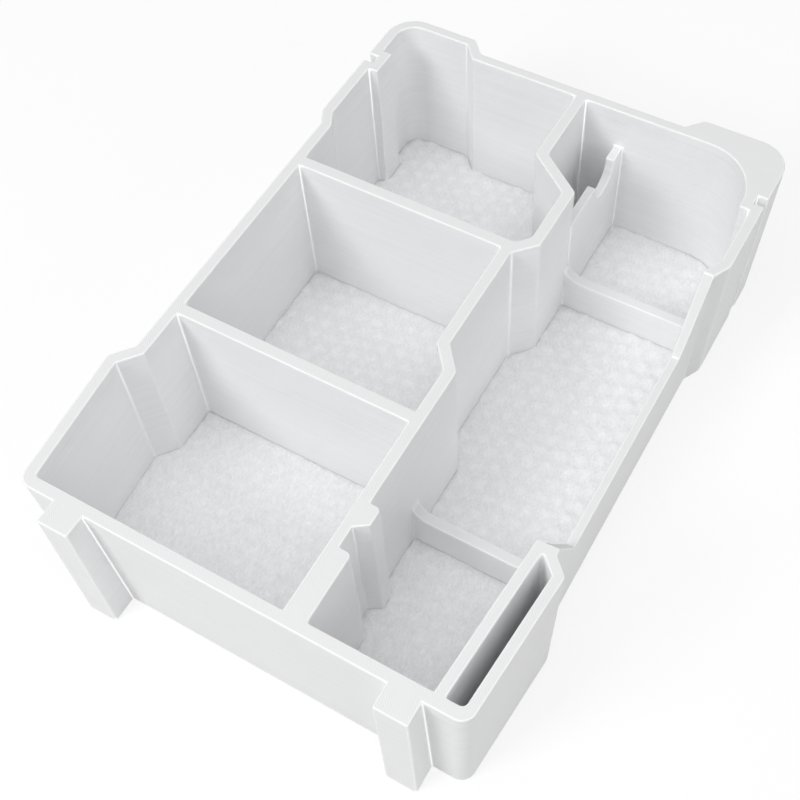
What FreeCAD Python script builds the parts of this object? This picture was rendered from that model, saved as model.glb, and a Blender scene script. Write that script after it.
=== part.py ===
import FreeCAD, Part
import math
import os

# Printed organizer tray with a soft liner lying in six of its compartments.
# Millimetres. X runs left to right, Y front to back, Z up; the origin is the centre of the
# tray's footprint, on the surface it stands on. Inside the script, places are counted from
# the left wall's outer face (x = 0) and the front wall's outer face (y = 0), both at the rim.

Vector = FreeCAD.Vector

# Heights
tray_height = 52.0
floor_thickness = 1.5
rail_height = 30.7
low_divider_height = 15.2
partition_height = 37.7

# Walls
front_wall = 3.6
left_wall = 3.4
back_wall = 3.2
right_wall = 3.2
divider_wall = 3.7
central_wall = 3.5
low_divider_wall = 3.3
partition_wall = 2.8
foot_inset = 1.5              # how far the outside leans in between the rim and the foot

# Clear lengths along Y and clear widths along X
front_bay_length = 58.7
middle_bay_length = 58.0
back_bay_length = 59.0
left_bay_width = 72.9
right_bay_width = 43.1

# Left wall: the front stretch stands out and tapers, the back stretch stands out less
front_flare = 5.1
front_taper = 4.6             # degrees
front_jog_to_divider = 14.0   # end of the slanted step, before the first divider
front_jog_run = 6.1
back_flare = 2.6
back_jog_from_divider = 13.6  # start of the slanted step, behind the second divider
back_jog_run = 5.2

# Back wall: both corners stand out behind the middle stretch
corner_bulge = 4.9
left_bulge_width = 26.9
right_bulge_width = 27.7
bulge_slope_run = 4.4
back_corner_radius = 9.6
front_corner_radius = 4.0

# Right wall: tall behind, a low rail between two ramps in the middle
right_flare = 2.8
rail_back_from_divider = 14.2  # top of the rear ramp, behind the second divider
right_jog_run = 5.3
rear_ramp_angle = 55.3        # degrees above level
front_ramp_angle = 60.6

# Central wall: bends left beside the middle and the back bay
neck_offset = 6.0
neck_start = 14.9             # behind the first divider
neck_slope_run = 7.3
neck_end_slope_run = 6.2
bay_offset = 13.5
bay_bend = 23.2               # behind the second divider
bay_slope_run = 9.9
bend_radius = 2.0

# Thickened stretch of the central wall in the front right bay, with an upright recess
block_depth = 3.3
block_length = 20.1
recess_floor = 6.1
recess_bite = 0.4
recess_slope_run = 2.5
rib_length = 5.3

# Slanted slot in the front right corner
slot_width = 4.8
slot_wall = 3.0
slot_reach = 48.7             # rear face of the slot's back wall
slot_slant = 3.8              # degrees
slot_corner_back = 6.0        # from the widest point to the rear face

# Upright grooves in both side walls
groove_width = 3.1
groove_depth = 3.2
groove_backing = 3.3
groove_cheek = 2.9
groove_from_back = 22.0
spring_flat = 2.0             # straight stretch before the rounded back right corner

# Low dividers and the thin partition of the right bay
front_low_divider_gap = 6.4   # behind the slot
back_low_divider_lead = 1.8   # before the central wall's rear bend
low_divider_sweep = 5.5
notch_width = 12.5
notch_depth = 7.7
notch_from_back = 6.1

# Posts on the front face
post_width = 9.4
post_depth = 6.5
post_spacing = 96.6
post_round = 0.6

# Small rounds and the liners
inner_round = 0.5             # inside corners of the compartments
step_round = 0.9              # inner side of the outer walls' slanted steps
outer_round = 2.5             # outer side of the same steps, where it bulges
neck_round = 1.5              # bends of the central wall beside the middle bay
block_round = 1.5
slot_round = 1.5
liner_thickness = 1.2
liner_clearance = 0.3

# Places along Y
y_front = front_wall
y_divider_1 = y_front + front_bay_length
y_middle = y_divider_1 + divider_wall
y_divider_2 = y_middle + middle_bay_length
y_behind = y_divider_2 + divider_wall
y_back = y_behind + back_bay_length
y_back_outer = y_back + back_wall
y_end = y_back_outer + corner_bulge
y_groove = y_end - groove_from_back
y_cheek_front = y_groove - groove_width / 2 - groove_cheek
y_cheek_back = y_groove + groove_width / 2 + groove_cheek
y_bend = y_behind + bay_bend
y_rail_back = y_behind + rail_back_from_divider

# Places along X
x_left = left_wall
x_centre_left = x_left + left_bay_width
x_centre = x_centre_left + central_wall / 2
x_centre_right = x_centre_left + central_wall
x_rail = x_centre_right + right_bay_width
x_rail_outer = x_rail + right_wall
x_tall = x_rail + right_flare
x_tall_outer = x_rail_outer + right_flare
x_groove_left = -back_flare + groove_depth
x_groove_right = x_tall_outer - groove_depth
x_block = x_centre_right + block_depth

# Slanted lines are x = start + y * slope
slant = math.tan(math.radians(slot_slant))
taper = math.tan(math.radians(front_taper))
slot_step = slot_wall / math.cos(math.radians(slot_slant))
slot_left_start = x_rail - slot_wall - slot_reach * slant
slot_inner_start = slot_left_start + slot_step
slot_far_start = slot_inner_start + slot_width / math.cos(math.radians(slot_slant))
slot_outer_start = slot_far_start + slot_step
flare_start = -front_flare + (y_divider_1 - front_jog_to_divider - front_jog_run) * taper

# The frame's origin, seen from the corner that places are counted from
x_reach_left = -front_flare
x_reach_right = slot_outer_start + (slot_reach - slot_corner_back) * slant
origin = Vector((x_reach_left + x_reach_right) / 2, (y_end - post_depth) / 2, 0)

above_rim = 5.0               # how far cutting bodies stand above the rim and past the outside


def towards(a, b):
    return Vector(b[0] - a[0], b[1] - a[1], 0).normalize()


def beside(corners, distance, closed=True):
    """The same line moved to its left by a distance; its corners keep their radii."""
    moved = []
    for i, (x, y, radius) in enumerate(corners):
        arriving = towards(corners[i - 1], corners[i]) if closed or i > 0 else None
        following = corners[(i + 1) % len(corners)]
        leaving = towards(corners[i], following) if closed or i + 1 < len(corners) else arriving
        arriving = arriving or leaving
        across = Vector(-arriving.y - leaving.y, arriving.x + leaving.x, 0)
        across.multiply(distance / (1 + arriving.dot(leaving)))
        moved.append((x + across.x, y + across.y, radius))
    return moved


def outline(corners, z):
    """Closed wire through (x, y, radius) corners at one height, with an arc at each corner."""
    places = [Vector(x, y, z) for x, y, radius in corners]
    turns = []
    for i, (x, y, radius) in enumerate(corners):
        back = (places[i - 1] - places[i]).normalize()
        ahead = (places[(i + 1) % len(places)] - places[i]).normalize()
        half_angle = back.getAngle(ahead) / 2
        reach = radius / math.tan(half_angle)
        depth = radius / math.sin(half_angle) - radius
        middle = places[i] + (back + ahead).normalize() * depth
        turns.append((places[i] + back * reach, middle, places[i] + ahead * reach))
    edges = []
    for i, (start, middle, end) in enumerate(turns):
        if corners[i][2] > 0:
            edges.append(Part.Arc(start, middle, end).toShape())
        edges.append(Part.LineSegment(end, turns[(i + 1) % len(turns)][0]).toShape())
    return Part.Wire(edges)


def prism(corners, z, height):
    return Part.Face(outline(corners, z)).extrude(Vector(0, 0, height))


def box(x0, y0, z0, x1, y1, z1):
    return Part.makeBox(x1 - x0, y1 - y0, z1 - z0, Vector(x0, y0, z0))


def rim_outline():
    """The outside at the rim, counter-clockwise from the front left corner."""
    y_widest = slot_reach - slot_corner_back
    x_widest = x_reach_right
    y_flare = y_divider_1 - front_jog_to_divider - front_jog_run
    y_back_jog = y_behind + back_jog_from_divider
    return [
        (flare_start, 0, front_corner_radius),
        (slot_outer_start, 0, front_corner_radius),
        (x_widest, y_widest, bend_radius),
        (x_rail_outer, y_widest + x_widest - x_rail_outer, 0),
        (x_rail_outer, y_rail_back, step_round),
        (x_tall_outer, y_rail_back + right_jog_run, outer_round),
        (x_tall_outer, y_end, back_corner_radius),
        (x_tall_outer - right_bulge_width, y_end, outer_round),
        (x_tall_outer - right_bulge_width - bulge_slope_run, y_back_outer, step_round),
        (left_bulge_width + bulge_slope_run - back_flare, y_back_outer, step_round),
        (left_bulge_width - back_flare, y_end, outer_round),
        (-back_flare, y_end, back_corner_radius),
        (-back_flare, y_back_jog + back_jog_run, outer_round),
        (0, y_back_jog, step_round),
        (0, y_divider_1 - front_jog_to_divider, step_round),
        (-front_flare, y_flare, outer_round),
    ]


def central_line():
    """Middle line of the central wall, from front to back."""
    x_neck = x_centre - neck_offset
    x_bay = x_centre - bay_offset
    y_neck_end = y_divider_2 + divider_wall / 2
    return [
        (x_centre, 0, 0),
        (x_centre, y_middle + neck_start, neck_round),
        (x_neck, y_middle + neck_start + neck_slope_run, neck_round),
        (x_neck, y_neck_end - neck_end_slope_run / 4, neck_round),
        (x_centre, y_neck_end + neck_end_slope_run * 3 / 4, neck_round),
        (x_centre, y_bend, bend_radius),
        (x_bay, y_bend + bay_slope_run, bend_radius),
        (x_bay, y_back_outer, 0),
    ]


left_face = beside(central_line(), central_wall / 2, closed=False)
right_face = beside(central_line(), -central_wall / 2, closed=False)
wall_inside = [(x, y, step_round) for x, y, radius in beside(rim_outline(), left_wall)]


def meet(a, b, y):
    """The point at height y on the plan line from corner a to corner b."""
    return a[0] + (b[0] - a[0]) * (y - a[1]) / (b[1] - a[1])


def front_left_bay():
    flare, jog = wall_inside[15], wall_inside[14]
    return [
        (flare[0] + (flare[1] - y_front) * taper, y_front, inner_round),
        (x_centre_left, y_front, inner_round),
        (x_centre_left, y_divider_1, inner_round),
        (x_left, y_divider_1, inner_round),
        jog,
        flare,
    ]


def middle_left_bay():
    start, neck = left_face[1], left_face[2]
    return [
        (x_left, y_middle, inner_round),
        (x_centre_left, y_middle, inner_round),
        start,
        neck,
        (neck[0], y_divider_2, inner_round),
        (x_left, y_divider_2, inner_round),
    ]


def back_left_bay():
    neck, behind, bend, bay = left_face[3:7]
    x_wall = -back_flare + left_wall
    x_boss = x_groove_left + groove_backing
    y_bulge = y_end - back_wall
    shift = back_wall * math.tan(math.atan2(corner_bulge, bulge_slope_run) / 2)
    x_bulge = left_bulge_width - back_flare - shift
    return [
        (x_left, y_behind, inner_round),
        (meet(neck, behind, y_behind), y_behind, bend_radius),
        behind,
        bend,
        bay,
        (bay[0], y_back, inner_round),
        (x_bulge + bulge_slope_run, y_back, step_round),
        (x_bulge, y_bulge, step_round),
        (x_wall, y_bulge, back_corner_radius - left_wall),
        (x_wall, y_cheek_back, inner_round),
        (x_boss, y_cheek_back, inner_round),
        (x_boss, y_cheek_front, inner_round),
        (x_wall, y_cheek_front, inner_round),
        wall_inside[12],
        wall_inside[13],
    ]


def right_bay():
    """The whole right side, before the low dividers and the partition."""
    start, neck, neck_end, behind, bend, bay = right_face[1:7]
    y_recess = y_front + block_length
    y_slope = y_recess + recess_floor
    y_rib = y_slope + recess_slope_run
    y_block_end = y_rib + rib_length
    x_recess = x_centre_right - recess_bite
    x_boss = x_groove_right - groove_backing
    jog_shift = right_wall * math.tan(math.atan2(right_flare, right_jog_run) / 2)
    y_jog = y_rail_back + jog_shift
    return [
        (x_block, y_front, inner_round),
        (slot_left_start + y_front * slant, y_front, inner_round),
        (slot_left_start + slot_reach * slant, slot_reach, inner_round),
        (x_rail, slot_reach, inner_round),
        (x_rail, y_jog, step_round),
        (x_tall, y_jog + right_jog_run, step_round),
        (x_tall, y_cheek_front, inner_round),
        (x_boss, y_cheek_front, inner_round),
        (x_boss, y_back, y_back - y_cheek_front - spring_flat),
        (bay[0], y_back, inner_round),
        bay,
        bend,
        behind,
        neck_end,
        neck,
        start,
        (x_centre_right, y_block_end, inner_round),
        (x_block, y_block_end, block_round),
        (x_block, y_rib, step_round),
        (x_recess, y_slope, inner_round),
        (x_recess, y_recess, inner_round),
        (x_block, y_recess, block_round),
    ]


def slot():
    """The slanted slot; its rear end is cut off at 45 degrees like the outside."""
    outside = x_reach_right + slot_reach - slot_corner_back
    inside = outside - slot_wall * math.sqrt(2)
    y_apex = (inside - slot_inner_start) / (1 + slant)
    y_side = (inside - slot_far_start) / (1 + slant)
    return [
        (slot_inner_start + y_front * slant, y_front, inner_round),
        (slot_far_start + y_front * slant, y_front, slot_round),
        (slot_far_start + y_side * slant, y_side, inner_round),
        (slot_inner_start + y_apex * slant, y_apex, inner_round),
    ]


def shell():
    """The outside: sides lean in by foot_inset from the rim down to the foot."""
    rim = rim_outline()
    foot = beside(rim, foot_inset)
    return Part.makeLoft([outline(foot, 0), outline(rim, tray_height)], True, True)


def post(x):
    half = post_width / 2
    corners = [
        (x - half, -post_depth, post_round),
        (x + half, -post_depth, post_round),
        (x + half, y_front / 2 + foot_inset / 2, 0),
        (x - half, y_front / 2 + foot_inset / 2, 0),
    ]
    return prism(corners, 0, tray_height)


def rail_cut():
    """What is taken off the right wall above the low rail and its two ramps."""
    rise = tray_height - rail_height
    front_run = rise / math.tan(math.radians(front_ramp_angle))
    rear_run = rise / math.tan(math.radians(rear_ramp_angle))
    front_lean = above_rim / math.tan(math.radians(front_ramp_angle))
    rear_lean = above_rim / math.tan(math.radians(rear_ramp_angle))
    x = x_rail - right_wall
    side = [
        Vector(x, slot_reach + front_run, rail_height),
        Vector(x, y_rail_back - rear_run, rail_height),
        Vector(x, y_rail_back + rear_lean, tray_height + above_rim),
        Vector(x, slot_reach - front_lean, tray_height + above_rim),
    ]
    face = Part.Face(Part.makePolygon(side + side[:1]))
    return face.extrude(Vector(2 * right_wall + right_flare + above_rim, 0, 0))


def low_divider(y):
    """Low cross wall whose top sweeps up in a quarter round to the central wall."""
    top = low_divider_height
    x_wall = x_centre_right
    x_buried = x_wall - central_wall / 2
    x_end = x_rail + right_wall / 4
    sweep = low_divider_sweep
    corner = math.sqrt(0.5)
    start = Vector(x_wall, y, top + sweep)
    middle = Vector(x_wall + sweep * (1 - corner), y, top + sweep * (1 - corner))
    end = Vector(x_wall + sweep, y, top)
    rest = [
        end,
        Vector(x_end, y, top),
        Vector(x_end, y, floor_thickness / 2),
        Vector(x_buried, y, floor_thickness / 2),
        Vector(x_buried, y, top + sweep),
        start,
    ]
    wire = Part.Wire([Part.Arc(start, middle, end).toShape()] + Part.makePolygon(rest).Edges)
    return Part.Face(wire).extrude(Vector(0, low_divider_wall, 0))


def partition():
    """Thin wall in line with the central wall's right face, notched for a finger."""
    x0 = x_centre_right - partition_wall
    y_notch = y_back - notch_from_back - notch_width / 2
    z_notch = partition_height - notch_depth + notch_width / 2
    wall = box(x0, y_bend, floor_thickness / 2, x_centre_right, y_back + back_wall / 4, partition_height)
    across = Vector(1, 0, 0)
    round_end = Part.makeCylinder(notch_width / 2, partition_wall, Vector(x0, y_notch, z_notch), across)
    half = notch_width / 2
    mouth = box(x0, y_notch - half, z_notch, x_centre_right, y_notch + half, z_notch + tray_height)
    return wall.cut(round_end.fuse(mouth))


def grooves():
    y0 = y_groove - groove_width / 2
    y1 = y_groove + groove_width / 2
    top = tray_height + above_rim
    left = box(-back_flare - above_rim, y0, -above_rim, x_groove_left, y1, top)
    right = box(x_groove_right, y0, -above_rim, x_tall_outer + above_rim, y1, top)
    return [left, right]


y_front_low_divider = slot_reach + front_low_divider_gap
y_back_low_divider = y_bend - back_low_divider_lead


def tray():
    x_front_middle = (flare_start + slot_outer_start) / 2
    body = shell()
    for side in (-1, 1):
        body = body.fuse(post(x_front_middle + side * post_spacing / 2))
    depth = tray_height - floor_thickness + above_rim
    for corners in (front_left_bay(), middle_left_bay(), back_left_bay(), right_bay(), slot()):
        body = body.cut(prism(corners, floor_thickness, depth))
    for added in (low_divider(y_front_low_divider), low_divider(y_back_low_divider), partition()):
        body = body.fuse(added)
    for cutter in [rail_cut()] + grooves():
        body = body.cut(cutter)
    return body.removeSplitter()


def liner(corners, y_start=None, y_stop=None, x_start=None):
    """Soft sheet on the floor, short of every wall by the clearance."""
    gap = liner_clearance
    sheet = prism(beside(corners, gap), floor_thickness, liner_thickness)
    if y_start is None:
        return sheet
    x_low = x_reach_left if x_start is None else x_start + gap
    top = floor_thickness + liner_thickness
    return sheet.common(box(x_low, y_start + gap, floor_thickness, x_reach_right, y_stop - gap, top))


def liners():
    y1 = y_front_low_divider
    y2 = y_back_low_divider
    bay = right_bay()
    return {
        "liner_front_left": liner(front_left_bay()),
        "liner_middle_left": liner(middle_left_bay()),
        "liner_back_left": liner(back_left_bay()),
        "liner_front_right": liner(bay, y_front, y1),
        "liner_middle_right": liner(bay, y1 + low_divider_wall, y2),
        "liner_back_right": liner(bay, y2 + low_divider_wall, y_back, x_centre_right),
    }


def export(name, shape):
    shape.translate(origin * -1)
    shape.exportStep("parts/" + name + ".step")


os.makedirs("parts", exist_ok=True)
export("tray_body", tray())
for name, shape in liners().items():
    export(name, shape)
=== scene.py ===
import math

import bpy
import numpy as np
from mathutils import Euler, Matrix, Vector, bvhtree, geometry, noise


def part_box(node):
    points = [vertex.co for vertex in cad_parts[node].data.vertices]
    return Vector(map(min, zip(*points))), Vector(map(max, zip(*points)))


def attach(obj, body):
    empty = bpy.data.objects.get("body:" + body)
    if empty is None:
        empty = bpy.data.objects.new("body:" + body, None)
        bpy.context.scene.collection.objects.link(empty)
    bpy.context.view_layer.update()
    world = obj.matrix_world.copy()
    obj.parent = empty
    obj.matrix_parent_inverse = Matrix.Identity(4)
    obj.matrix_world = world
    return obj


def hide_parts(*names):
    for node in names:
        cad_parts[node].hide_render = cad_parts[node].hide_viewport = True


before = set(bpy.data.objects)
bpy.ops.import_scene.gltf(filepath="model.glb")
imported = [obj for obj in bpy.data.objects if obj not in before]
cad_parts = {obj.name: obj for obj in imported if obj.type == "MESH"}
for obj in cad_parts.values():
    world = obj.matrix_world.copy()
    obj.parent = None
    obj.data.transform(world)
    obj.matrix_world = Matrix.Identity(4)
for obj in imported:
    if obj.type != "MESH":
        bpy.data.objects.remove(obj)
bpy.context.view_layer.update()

MM = 0.001

# The camera stands where the photograph was taken from. Its picture is 800 pixels wide.
picture_width = 800
focal_pixels = 1258.6
sensor_width = 36.0
camera_place = (0.10884, -0.17194, 0.32428)
camera_turn = (32.782, 2.890, 30.244)

# The CAD mesh is made ready for rounding: doubled points joined, flat faces merged
weld_distance = 0.002 * MM
flat_angle = math.radians(0.3)

# Printed edges are as round as the nozzle. The narrow upright facets of a tight corner are its beads, one above
# another. How open the place is, as a share, tells an inside corner from an outside one, which shows less of them.
edge_round = 0.40 * MM
edge_segments = 3
edge_angle = math.radians(50)
corner_strip = 0.33 * MM
corner_reach = 2.0 * MM
inside_open = 0.90
outside_open = 0.98
outside_bead = 0.35
bead_lift = 0.6
bead_tone = 0.90
bead_gloss = 0.5
edge_tone = 0.92
edge_gloss = 0.46
edge_level_tone = 0.06
edge_levels = (60, 60, 500)
edge_colour = (0.975, 0.978, 0.983)

# Printed plastic: infill strokes on what faces up, layers on the walls, and a fine grain. Depths and pitches are
# in metres, scales are features in a metre, tones are shares of the colour. A facing is how much a face looks up,
# from where it starts to count as a top, as a flat one or no longer as a wall, to where it fully does.
infill_pitch = 0.56 * MM
infill_depth = 0.024 * MM
infill_wander = 2.6
layer_pitch = 0.20 * MM
layer_depth = 0.018 * MM
drift_depth = 0.075 * MM
grain_depth = 0.012 * MM
broad_layers = (24, 24, 850)
fine_layers = (30, 30, 2600)
fine_share = 0.6
patch_scale = 140
cloud_scale = 35
grain_scale = 1900
shaded_top_facing = (0.25, 0.55)
flat_facing = (0.97, 0.998)
wall_facing = (0.2, 0.6)
# Painted shade: what faces up is made darker in colour, standing for the shadow in its rough strokes
top_painted_shade = 0.84
# Painted shade: the grooves between the infill strokes are darker
stroke_groove_shade = 0.07
layer_tone = 0.10
cloud_tone = 0.02
plastic_gloss = 0.36
gloss_drift = 0.12
plastic_colour = (0.960, 0.964, 0.970)

# The pile of the plush liners, its tufts and its soft dots, in metres
pile_low = 0.40 * MM
pile_lowest = 0.30 * MM
edge_rise = 0.14 * MM
edge_reach = 1.6 * MM
cut_gap = 0.01 * MM
cad_gap = 0.30 * MM
dot_pitch = 5.9 * MM
dot_wander = 0.25 * dot_pitch
wander_size = 3 * dot_pitch
tuft_depth = 0.10 * MM
tuft_size = 0.9 * MM
swell_size = 12 * tuft_size
swell_relief = 0.18
grid_pitch = 0.62 * MM
grid_scatter = 0.2

# The plush's surface: fibres that run two ways and lean as they go, seen as bumps and tones, with painted shade
# between the tufts and low in the pile
fibre_scales = (2600, 600, 2000)
crossing_scales = (700, 2600, 2000)
crossing_share = 0.5
tuft_scale = 700
lean_scale = 260
lean = (0.0035, -0.0028, 0.0)
fibre_bump = 0.10 * MM
tuft_bump = 0.16 * MM
fibre_tone = 0.32
# Painted shade: the low parts between the tufts are darker
tuft_painted_shade = 0.05
# Painted shade: the pile is darker the lower it lies and lighter on the raised dots
pile_painted_shade = 0.055
plush_colour = (0.874, 0.879, 0.891)

# Loose fibres along a liner's cut edge
hair_length = 1.3 * MM
hair_width = 0.10 * MM
hair_rise = 0.65
hair_taper = 0.5
hair_sides = 3
hair_segments = 3
hairs_per_metre = 1800
hair_root = 0.55
hair_depths = (0.35 * MM, 1.1 * MM)
hair_lengths = (0.5, 1.0)
hair_sideways = 0.6
hair_outwards = 0.8

# Each liner's row of dots runs at its own angle, in degrees, and is more or less marked. How the rows wander
# is drawn from a seed.
dot_seed = 1
liners = {
    "liner_front_left": (-32.0, 0.35),
    "liner_middle_left": (-18.0, 0.8),
    "liner_back_left": (-13.0, 1.0),
    "liner_back_right": (-20.0, 0.6),
    "liner_middle_right": (-13.5, 0.85),
    "liner_front_right": (-13.0, 0.45),
}

# Soft light from the front left, a wide one overhead and a weak one from the right.
# Each has its direction from the tray (degrees round from the front, degrees up), distance, size and power.
lamps = {
    "key": (-24.7, 38.8, 1.30, 0.42, 5.7),
    "overhead": (20.0, 82.0, 1.30, 1.10, 6.7),
    "right": (75.0, 25.0, 1.40, 0.70, 2.5),
}
world_strength = 0.38
floor_reach = 8.0
floor_gap = 0.02 * MM
floor_colour = 0.55
white_share = 0.75


def link(tree, source, target):
    tree.links.new(source, target)


def node(tree, kind, inputs=None, **settings):
    """A shader node with its settings, and its inputs given as values or as other nodes' outputs."""
    made = tree.nodes.new("ShaderNode" + kind)
    for name, value in settings.items():
        setattr(made, name, value)
    for name, value in (inputs or {}).items():
        if isinstance(value, bpy.types.NodeSocket):
            link(tree, value, made.inputs[name])
        else:
            made.inputs[name].default_value = value
    return made


def math_node(tree, operation, *values):
    return node(tree, "Math", dict(enumerate(values)), operation=operation).outputs[0]


def noise_value(tree, place, scale, detail=2.0, roughness=0.55):
    """Noise from 0 to 1, with so many features in a metre along each axis, or along all of them."""
    scales = scale if isinstance(scale, tuple) else (scale, scale, scale)
    stretched = node(tree, "Mapping", {"Vector": place, "Scale": scales}).outputs[0]
    inputs = {"Vector": stretched, "Scale": 1.0, "Detail": detail, "Roughness": roughness}
    return node(tree, "TexNoise", inputs).outputs["Fac"]


def bands(tree, place, direction, scale, **wander):
    """Even bands from 0 to 1, straight or wandering."""
    inputs = {"Vector": place, "Scale": scale, **wander}
    return node(tree, "TexWave", inputs, wave_type="BANDS", bands_direction=direction).outputs["Fac"]


def ramp(tree, value, low, high, out_low=0.0, out_high=1.0):
    inputs = {"Value": value, "From Min": low, "From Max": high, "To Min": out_low, "To Max": out_high}
    return node(tree, "MapRange", inputs, interpolation_type="SMOOTHSTEP").outputs[0]


def multiply_colour(tree, colour, factor):
    """The colour times a grey factor."""
    mix = node(tree, "Mix", None, data_type="RGBA", blend_type="MULTIPLY")
    mix.inputs[0].default_value = 1.0
    mix.inputs[6].default_value = (*colour, 1.0)
    link(tree, factor, mix.inputs[7])
    return mix.outputs[2]


def bumps(tree, height, strength=1.0):
    """The surface's direction with a height in millimetres on it."""
    return node(tree, "Bump", {"Height": height, "Distance": MM, "Strength": strength}).outputs[0]


def facing_up(tree):
    """1 where the surface faces up, 0 on a wall, -1 where it faces down."""
    return node(tree, "SeparateXYZ", {0: node(tree, "NewGeometry").outputs["Normal"]}).outputs["Z"]


def new_material(name):
    made = bpy.data.materials.new(name)
    made.use_nodes = True
    tree = made.node_tree
    shader = tree.nodes["Principled BSDF"]
    place = node(tree, "TexCoord").outputs["Object"]
    return made, tree, shader, place


def infill_strokes(tree, place):
    """Slanting strokes. Diagonal bands repeat each time that x + y grows by 2 pi / (10 scale)."""
    scale = 2 * math.pi / (10 * math.sqrt(2) * infill_pitch)
    wander = {"Distortion": infill_wander, "Detail": 3.0, "Detail Scale": 0.9}
    return bands(tree, place, "DIAGONAL", scale, **wander)


def layer_height(tree, place, broad):
    """Height of the layers over a wall in millimetres: even beads, and layers that stand out more or less.

    Bands along z repeat every pi / (10 scale).
    """
    bead = bands(tree, place, "Z", math.pi / (10 * layer_pitch), Distortion=0.0)
    drift = math_node(tree, "MULTIPLY_ADD", noise_value(tree, place, fine_layers), fine_share, broad)
    beads = math_node(tree, "MULTIPLY", bead, layer_depth / MM)
    return math_node(tree, "MULTIPLY_ADD", drift, drift_depth / MM, beads)


def toned(tree, tone, value, share, where=None):
    """The tone with a value from 0 to 1 added to it, as a share about its mean, in one place or everywhere."""
    about_mean = math_node(tree, "SUBTRACT", value, 0.5)
    if where is not None:
        about_mean = math_node(tree, "MULTIPLY", about_mean, where)
    return math_node(tree, "MULTIPLY_ADD", about_mean, share, tone)


def printed_plastic(name, colour):
    """White printed plastic: layer lines on the walls, slanting infill strokes on what faces up. What faces up and
    the grooves between the strokes are darkened in colour, as painted shade.
    """
    made, tree, shader, place = new_material(name)
    facing = facing_up(tree)
    top = ramp(tree, facing, *shaded_top_facing)
    flat = ramp(tree, facing, *flat_facing)
    wall = math_node(tree, "SUBTRACT", 1.0, ramp(tree, math_node(tree, "ABSOLUTE", facing), *wall_facing))
    patches = ramp(tree, noise_value(tree, place, patch_scale), 0.35, 0.6)
    open_top = math_node(tree, "MULTIPLY", flat, patches)

    strokes = infill_strokes(tree, place)
    broad = noise_value(tree, place, broad_layers)
    infill = math_node(tree, "MULTIPLY", math_node(tree, "MULTIPLY", strokes, open_top), infill_depth / MM)
    layers = math_node(tree, "MULTIPLY", layer_height(tree, place, broad), wall)
    grain = math_node(tree, "MULTIPLY", noise_value(tree, place, grain_scale), grain_depth / MM)
    height = math_node(tree, "ADD", math_node(tree, "ADD", infill, layers), grain)

    # Painted shade: what faces up is darker
    tone = math_node(tree, "MULTIPLY_ADD", top, top_painted_shade - 1, 1.0)
    # Painted shade: the grooves between the infill strokes are darker, the strokes lighter
    tone = toned(tree, tone, strokes, stroke_groove_shade, open_top)
    tone = toned(tree, tone, broad, layer_tone, wall)
    tone = toned(tree, tone, noise_value(tree, place, cloud_scale), cloud_tone)
    link(tree, multiply_colour(tree, colour, tone), shader.inputs["Base Color"])
    rough = math_node(tree, "MULTIPLY_ADD", broad, gloss_drift, plastic_gloss)
    link(tree, rough, shader.inputs["Roughness"])
    link(tree, bumps(tree, height), shader.inputs["Normal"])
    shader.inputs["Specular IOR Level"].default_value = 0.45
    return made


def bead_share(tree):
    """How far a narrow upright facet is one of a corner's beads: fully in an inside corner, a little outside."""
    upright = ramp(tree, math_node(tree, "ABSOLUTE", facing_up(tree)), 0.2, 0.4, 1.0, 0.0)
    open_share = node(tree, "AmbientOcclusion", {"Distance": corner_reach}, samples=16).outputs["AO"]
    inside = ramp(tree, open_share, inside_open, outside_open, 1.0, outside_bead)
    return math_node(tree, "MULTIPLY", upright, inside)


def edge_plastic(name, colour):
    """The printed edges and corners: rounded beads, one above another, that catch light from above."""
    made, tree, shader, place = new_material(name)
    bead = bead_share(tree)
    level = noise_value(tree, place, edge_levels)
    base_tone = ramp(tree, bead, 0.0, 1.0, edge_tone, bead_tone)
    tone = math_node(tree, "MULTIPLY_ADD", level, edge_level_tone, base_tone)
    link(tree, multiply_colour(tree, colour, tone), shader.inputs["Base Color"])
    lift = node(tree, "CombineXYZ", {"Z": math_node(tree, "MULTIPLY", bead, bead_lift)}).outputs[0]
    facing = node(tree, "NewGeometry").outputs["Normal"]
    lifted = node(tree, "VectorMath", {0: facing, 1: lift}, operation="ADD").outputs[0]
    upwards = node(tree, "VectorMath", {0: lifted}, operation="NORMALIZE").outputs[0]
    link(tree, upwards, shader.inputs["Normal"])
    link(tree, bead, shader.inputs["Metallic"])
    link(tree, ramp(tree, bead, 0.0, 1.0, edge_gloss, bead_gloss), shader.inputs["Roughness"])
    return made


def leaning(tree, place):
    """The place, pushed aside a little by a slow noise, so that fibres drawn at it lean one way and another."""
    drift = noise_value(tree, place, lean_scale)
    drifts = node(tree, "CombineXYZ", {"X": drift, "Y": drift, "Z": drift}).outputs[0]
    return node(tree, "VectorMath", {0: drifts, 1: lean, 2: place}, operation="MULTIPLY_ADD").outputs[0]


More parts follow.
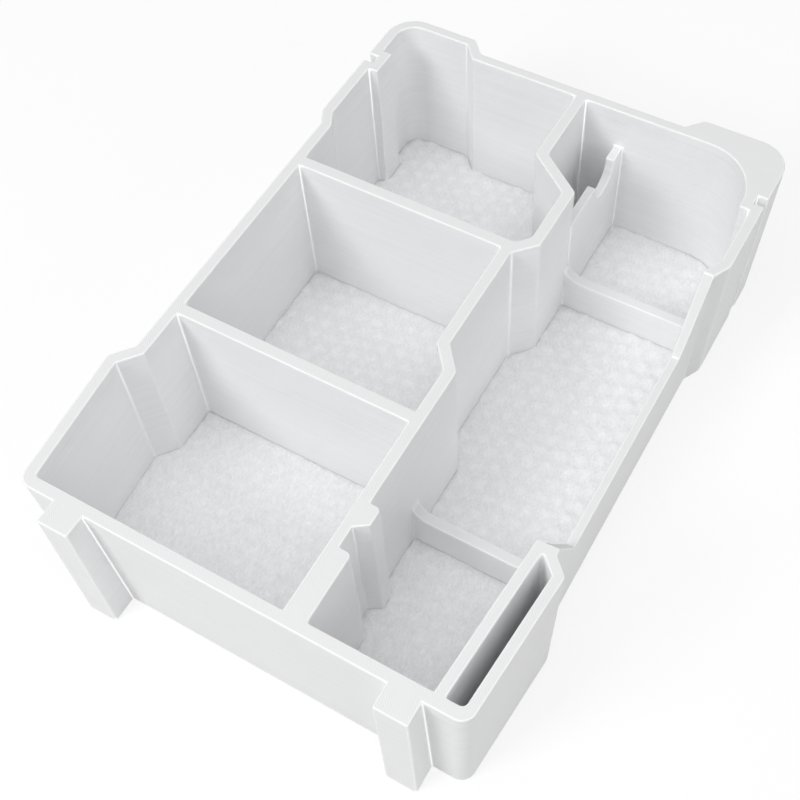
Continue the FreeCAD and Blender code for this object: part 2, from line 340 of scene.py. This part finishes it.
def plush(name, glow=0.0):
    """White short-pile plush: fine fibres that lean one way and another, with painted shade between the tufts and
    low in the pile.

    Loose fibres glow, because light goes through them from every side.
    """
    made, tree, shader, place = new_material(name)
    bent = leaning(tree, place)
    fibres = noise_value(tree, bent, fibre_scales, 3.0, 0.6)
    crossing = noise_value(tree, bent, crossing_scales, 3.0, 0.6)
    hairs = math_node(tree, "ADD", fibres, math_node(tree, "MULTIPLY", crossing, crossing_share))
    tufts = noise_value(tree, place, tuft_scale)
    tuft_height = math_node(tree, "MULTIPLY", tufts, tuft_bump / MM)
    height = math_node(tree, "ADD", math_node(tree, "MULTIPLY", hairs, fibre_bump / MM), tuft_height)

    floor, thickest = (corner[2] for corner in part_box("liner_front_left"))
    level = node(tree, "SeparateXYZ", {0: place}).outputs["Z"]
    # Painted shade: the pile is darker the lower it lies and lighter on the raised dots
    tone = ramp(tree, level, floor + pile_low, thickest, 1 - pile_painted_shade / 2, 1 + pile_painted_shade / 2)
    about_mean = math_node(tree, "SUBTRACT", hairs, (1 + crossing_share) / 2)
    # Painted shade between the tufts: darker where they are low
    tone = toned(tree, math_node(tree, "MULTIPLY_ADD", about_mean, fibre_tone, tone), tufts, tuft_painted_shade)
    link(tree, multiply_colour(tree, plush_colour, tone), shader.inputs["Base Color"])
    link(tree, bumps(tree, height, 0.8), shader.inputs["Normal"])
    shader.inputs["Roughness"].default_value = 0.95
    shader.inputs["Specular IOR Level"].default_value = 0.1
    shader.inputs["Subsurface Weight"].default_value = glow
    shader.inputs["Subsurface Radius"].default_value = (1.0, 1.0, 1.0)
    shader.inputs["Subsurface Scale"].default_value = 2 * hair_width
    shader.inputs["Sheen Weight"].default_value = 0.15
    shader.inputs["Sheen Roughness"].default_value = 0.5
    return made


def seen_directly(tree):
    """1 for what the camera, a reflection or a view through glass sees, 0 for what only lights other things."""
    path = node(tree, "LightPath")
    seen = math_node(tree, "MAXIMUM", path.outputs["Is Camera Ray"], path.outputs["Is Glossy Ray"])
    return math_node(tree, "MAXIMUM", seen, path.outputs["Is Transmission Ray"])


def stage_material():
    """A pale floor that is seen as white, with the tray's soft shadow on it."""
    made, tree, shader, _ = new_material("floor_white")
    seen = seen_directly(tree)
    link(tree, ramp(tree, seen, 0.0, 1.0, floor_colour, 1.0), shader.inputs["Base Color"])
    shader.inputs["Roughness"].default_value = 1.0
    shader.inputs["Specular IOR Level"].default_value = 0.0
    white = node(tree, "Emission", {"Color": (1, 1, 1, 1), "Strength": 1.0}).outputs[0]
    share = math_node(tree, "MULTIPLY", seen, white_share)
    mixed = node(tree, "MixShader", {0: share, 1: shader.outputs[0], 2: white}).outputs[0]
    link(tree, mixed, tree.nodes["Material Output"].inputs["Surface"])
    return made


def edge_loop(cad_node):
    """The upper outline of a flat CAD node, as an ordered loop of plan points."""
    mesh = cad_node.data
    top = max(v.co.z for v in mesh.vertices)
    place = [tuple(round(c, 7) for c in v.co) for v in mesh.vertices]
    uses = {}
    for face in mesh.polygons:
        corners = [place[i] for i in face.vertices]
        if all(abs(z - top) < 0.01 * MM for _, _, z in corners):
            for a, b in zip(corners, corners[1:] + corners[:1]):
                uses.setdefault(frozenset((a, b)), []).append((a, b))
    follows = {pair[0][0]: pair[0][1] for pair in uses.values() if len(pair) == 1}
    start = min(follows)
    loop = [start]
    while follows[loop[-1]] != start:
        loop.append(follows[loop[-1]])
    return np.array([point[:2] for point in loop])


def turning(loop):
    """Twice the loop's area, positive if it runs anticlockwise."""
    x, y = loop.T
    return float(np.dot(x, np.roll(y, -1)) - np.dot(y, np.roll(x, -1)))


def outwards(loop, run):
    """For each point of the loop, the direction out of it that is square to its run there."""
    sideways = np.column_stack([run[:, 1], -run[:, 0]]) / np.linalg.norm(run, axis=1)[:, None]
    return sideways * math.copysign(1, turning(loop))


def spread(loop, distance):
    """The loop moved outwards by a distance, each corner along its own bisector."""
    outward = outwards(loop, np.roll(loop, -1, axis=0) - loop)
    before = np.roll(outward, 1, axis=0)
    share = 1 + np.sum(outward * before, axis=1)
    return loop + distance * (outward + before) / share[:, None]


def divided(loop, step):
    """The loop with points added so that no two neighbours are further apart than step."""
    points = []
    for a, b in zip(loop, np.roll(loop, -1, axis=0)):
        count = max(1, math.ceil(np.linalg.norm(b - a) / step))
        points += [a + (b - a) * k / count for k in range(count)]
    return np.array(points)


def distance_inside(points, loop):
    """How far each point is from the loop, negative outside it."""
    nearest = np.full(len(points), np.inf)
    inside = np.zeros(len(points), bool)
    for a, b in zip(loop, np.roll(loop, -1, axis=0)):
        run = b - a
        along = np.clip((points - a) @ run / (run @ run), 0, 1)
        nearest = np.minimum(nearest, np.linalg.norm(points - a - along[:, None] * run, axis=1))
        crosses = (a[1] > points[:, 1]) != (b[1] > points[:, 1])
        if run[1]:
            inside ^= crosses & (points[:, 0] < a[0] + (points[:, 1] - a[1]) * run[0] / run[1])
    return np.where(inside, nearest, -nearest)


def filling(loop, step, random):
    """Staggered points inside the loop, each a little off its place, as the pile's own roots are."""
    low, high = loop.min(axis=0), loop.max(axis=0)
    row = step * math.sqrt(3) / 2
    points = [
        (x + step / 2 * (j % 2), y)
        for j, y in enumerate(np.arange(low[1], high[1], row))
        for x in np.arange(low[0], high[0], step)
    ]
    points = np.array(points) + random.uniform(-grid_scatter, grid_scatter, (len(points), 2)) * step
    return points[distance_inside(points, loop) > 0.5 * step]


def dots(points, angle, random):
    """A staggered pattern of soft raised dots, from 0 between them to 1 on them."""
    wander = np.array([noise.noise_vector(Vector((*p / wander_size, angle))) for p in points])[:, :2]
    moved = points + wander * dot_wander
    total = np.zeros(len(points))
    row = dot_pitch * math.sqrt(3) / 2
    offset = random.uniform(0, 2 * math.pi, 3)
    offset[2] = -offset[0] - offset[1]
    for turn, phase in zip((0, 120, 240), offset):
        across = math.radians(angle + turn)
        wave = moved @ np.array((math.cos(across), math.sin(across)))
        total += np.cos(2 * math.pi * wave / row + phase)
    return (total + 1.5) / 4.5


def pile_height(points, border, thick, angle, marked, random):
    """Height of the pile's surface over the floor of the compartment."""
    soft = dots(points, angle, random)
    tufts = np.array([noise.noise(Vector((*p / tuft_size, angle))) for p in points])
    swells = np.array([noise.noise(Vector((*p / swell_size, angle))) for p in points])
    relief = 0.5 + marked * (soft - 0.5) + swell_relief * swells
    height = pile_low + (thick - pile_low - tuft_depth) * np.clip(relief, 0, 1) + tuft_depth * tufts
    height += edge_rise * np.exp(-((border / edge_reach) ** 2))
    return np.clip(height, pile_lowest, thick)


def mesh_object(name, points, faces, material, smooth_faces=None):
    """A mesh whose first faces are shaded smooth, or all of them, and the rest flat."""
    mesh = bpy.data.meshes.new(name)
    mesh.from_pydata([tuple(map(float, p)) for p in points], [], faces)
    smooth_faces = len(faces) if smooth_faces is None else smooth_faces
    mesh.polygons.foreach_set("use_smooth", [i < smooth_faces for i in range(len(faces))])
    mesh.materials.append(material)
    made = bpy.data.objects.new(name, mesh)
    bpy.context.scene.collection.objects.link(made)
    return made


def reach_walls(top, rim, ring, walls):
    """Moves the pile's border out to the leaning walls, with only the cut's own gap left before them."""
    outward = outwards(rim, np.roll(rim, -1, axis=0) - np.roll(rim, 1, axis=0))
    for place, (x, y) in zip(ring, outward):
        way = np.array((x, y, 0))
        distance = walls.ray_cast(Vector(top[place] - way * MM), Vector(way), 2 * MM)[3]
        if distance:
            top[place] += way * (distance - MM - cut_gap)


def triangulated(rim, inner):
    """The rim and what lies in it, as points and anticlockwise triangles, and where the rim's points are in them."""
    count = len(rim)
    plan = [Vector(p) for p in np.concatenate([rim, inner])]
    around = [(i, (i + 1) % count) for i in range(count)]
    places, _, triangles, merged = geometry.delaunay_2d_cdt(plan, around, [list(range(count))], 1, 1e-7)[:4]
    points = np.array([tuple(place) for place in places])
    where = {before: now for now, group in enumerate(merged) for before in group}
    upright = [tuple(face) if turning(points[list(face)]) > 0 else tuple(face)[::-1] for face in triangles]
    return points, upright, [where[i] for i in range(count)]


def liner_sheet(name, loop, low, thick, angle, marked, random, material, walls):
    """A closed plush sheet: its pile above, its flat back on the compartment's floor."""
    rim = divided(loop, grid_pitch)
    inner = filling(rim, grid_pitch, random)
    points, triangles, ring = triangulated(rim, inner)
    border = np.maximum(distance_inside(points, rim), 0)
    height = pile_height(points, border, thick, angle, marked, random)
    top = np.column_stack([points, low + height])
    reach_walls(top, rim, ring, walls)

    count = len(rim)
    under = np.column_stack([rim, np.full(count, low)])
    if turning(rim) < 0:
        ring, under = ring[::-1], under[::-1]
    back = [len(points) + i for i in range(count)]
    ahead = [(i + 1) % count for i in range(count)]
    sides = [(ring[j], ring[i], back[i], back[j]) for i, j in enumerate(ahead)]
    faces = [*triangles, *sides, tuple(reversed(back))]
    return mesh_object(name, np.concatenate([top, under]), faces, material, smooth_faces=len(triangles))


def hair(root, bend, length, random):
    """The points and faces of one short fibre, a closed thin cone that bends over."""
    spin = random.uniform(0, 2 * math.pi)
    turns = [spin + side * 2 * math.pi / hair_sides for side in range(hair_sides)]
    points = []
    for k in range(hair_segments):
        t = k / hair_segments
        rise = length * t * (1 - (1 - hair_rise) * t)
        centre = root + bend * length * t * t + np.array((0, 0, rise))
        radius = hair_width * (1 - hair_taper * t) / 2
        points += [centre + radius * np.array((math.cos(a), math.sin(a), 0)) for a in turns]
    tip = len(points)
    points.append(root + bend * length + np.array((0, 0, length * hair_rise)))

    faces = [tuple(reversed(range(hair_sides)))]
    for start in range(0, tip, hair_sides):
        last = start + hair_sides == tip
        for side in range(hair_sides):
            a, b = start + side, start + (side + 1) % hair_sides
            faces.append((a, b, tip) if last else (a, b, b + hair_sides, a + hair_sides))
    return points, faces


def fringe(name, loop, low, thick, random, material):
    """Loose fibres along the cut edge, where the pile stands up beside the walls."""
    around = divided(loop, 1 / hairs_per_metre)
    points, faces = [], []
    for place, outward in zip(around, outwards(loop, np.roll(around, -1, axis=0) - around)):
        depth = random.uniform(*hair_depths)
        length = random.uniform(*hair_lengths) * hair_length
        root = np.array((*(place - outward * depth), low + thick * hair_root))
        sideways = np.array((outward[1], -outward[0])) * random.uniform(-hair_sideways, hair_sideways)
        out = outward * random.uniform(0.0, hair_outwards * depth / length)
        made, made_faces = hair(root, np.array((*(sideways + out), 0)), length, random)
        start = len(points)
        points += made
        faces += [tuple(start + i for i in face) for face in made_faces]
    return mesh_object(name, points, faces, material)


def lay_liner(cad_name, angle, marked, material, fibre_material, seed, walls):
    """A plush liner in place of its plain CAD solid."""
    random = np.random.default_rng(seed)
    low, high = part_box(cad_name)
    thick = high[2] - low[2]
    loop = spread(edge_loop(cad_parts[cad_name]), cad_gap - cut_gap)
    name = cad_name.replace("liner", "plush")
    sheet = liner_sheet(name, loop, low[2], thick, angle, marked, random, material, walls)
    fibres = fringe(name + "_fringe", loop, low[2], thick, random, fibre_material)
    for piece in (sheet, fibres):
        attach(piece, "root")
    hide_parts(cad_name)


def is_corner_strip(mesh, face):
    """Whether a face is one narrow upright facet of a tightly rounded corner."""
    normal = face.normal
    if not face.use_smooth or abs(normal.z) > 0.1:
        return False
    sideways = [mesh.vertices[i].co.y * normal.x - mesh.vertices[i].co.x * normal.y for i in face.vertices]
    return max(sideways) - min(sideways) < corner_strip


def finish_tray(material, edge_material):
    """Softens every printed edge and corner by the nozzle's own radius, and gives the tray its materials."""
    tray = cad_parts["tray_body"]
    for face in tray.data.polygons:
        face.material_index = 1 if is_corner_strip(tray.data, face) else 0
    weld = tray.modifiers.new("weld", "WELD")
    weld.merge_threshold = weld_distance
    flat = tray.modifiers.new("flat_faces", "DECIMATE")
    flat.decimate_type = "DISSOLVE"
    flat.angle_limit = flat_angle
    bevel = tray.modifiers.new("soft_edges", "BEVEL")
    bevel.width = edge_round
    bevel.segments = edge_segments
    bevel.limit_method = "ANGLE"
    bevel.angle_limit = edge_angle
    bevel.use_clamp_overlap = False
    bevel.loop_slide = False
    bevel.harden_normals = False
    bevel.material = 1
    shading = tray.modifiers.new("even_shading", "WEIGHTED_NORMAL")
    shading.mode = "FACE_AREA"
    shading.weight = 100
    for place in tray.material_slots:
        place.material = material
    tray.data.materials.append(edge_material)


def lay_floor(material):
    """A floor under the tray, a hair lower than its foot and far wider than any view of it."""
    around = [(-1, -1), (1, -1), (1, 1), (-1, 1)]
    corners = [(x * floor_reach, y * floor_reach, -floor_gap) for x, y in around]
    floor = mesh_object("floor", corners, [(0, 1, 2, 3)], material, smooth_faces=0)


def place_camera():
    data = bpy.data.cameras.new("camera")
    data.sensor_width = sensor_width
    data.lens = focal_pixels / picture_width * sensor_width
    data.clip_start = 0.01
    data.clip_end = 20
    camera = bpy.data.objects.new("camera", data)
    camera.location = camera_place
    camera.rotation_euler = Euler([math.radians(a) for a in camera_turn])
    bpy.context.scene.collection.objects.link(camera)
    bpy.context.scene.camera = camera


def place_lamp(name, around, up, distance, size, power):
    data = bpy.data.lights.new(name, "AREA")
    data.shape = "SQUARE"
    data.size = size
    data.energy = power
    lamp = bpy.data.objects.new(name, data)
    a, e = math.radians(around), math.radians(up)
    towards = Vector((math.sin(a) * math.cos(e), -math.cos(a) * math.cos(e), math.sin(e)))
    lamp.location = towards * distance
    lamp.rotation_euler = towards.to_track_quat("Z", "Y").to_euler()
    bpy.context.scene.collection.objects.link(lamp)


def light_world():
    """An even white room, which the camera and the reflections see as the background's white."""
    world = bpy.data.worlds.new("room")
    bpy.context.scene.world = world
    world.use_nodes = True
    tree = world.node_tree
    strength = ramp(tree, seen_directly(tree), 0.0, 1.0, world_strength, 1.0)
    back = tree.nodes["Background"]
    back.inputs["Color"].default_value = (1, 1, 1, 1)
    link(tree, strength, back.inputs["Strength"])


def build():
    noise.seed_set(dot_seed)
    place_camera()
    plastic = printed_plastic("printed_plastic_white", plastic_colour)
    finish_tray(plastic, edge_plastic("printed_edge_white", edge_colour))
    pile = plush("plush_white")
    fibres = plush("plush_fibre_white", glow=1.0)
    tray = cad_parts["tray_body"].data
    walls = bvhtree.BVHTree.FromPolygons([v.co for v in tray.vertices], [p.vertices for p in tray.polygons])
    for seed, (name, (angle, marked)) in enumerate(liners.items(), 1):
        lay_liner(name, angle, marked, pile, fibres, seed, walls)
    lay_floor(stage_material())
    for name, settings in lamps.items():
        place_lamp(name, *settings)
    light_world()
    bpy.context.scene.view_settings.view_transform = "Standard"


build()
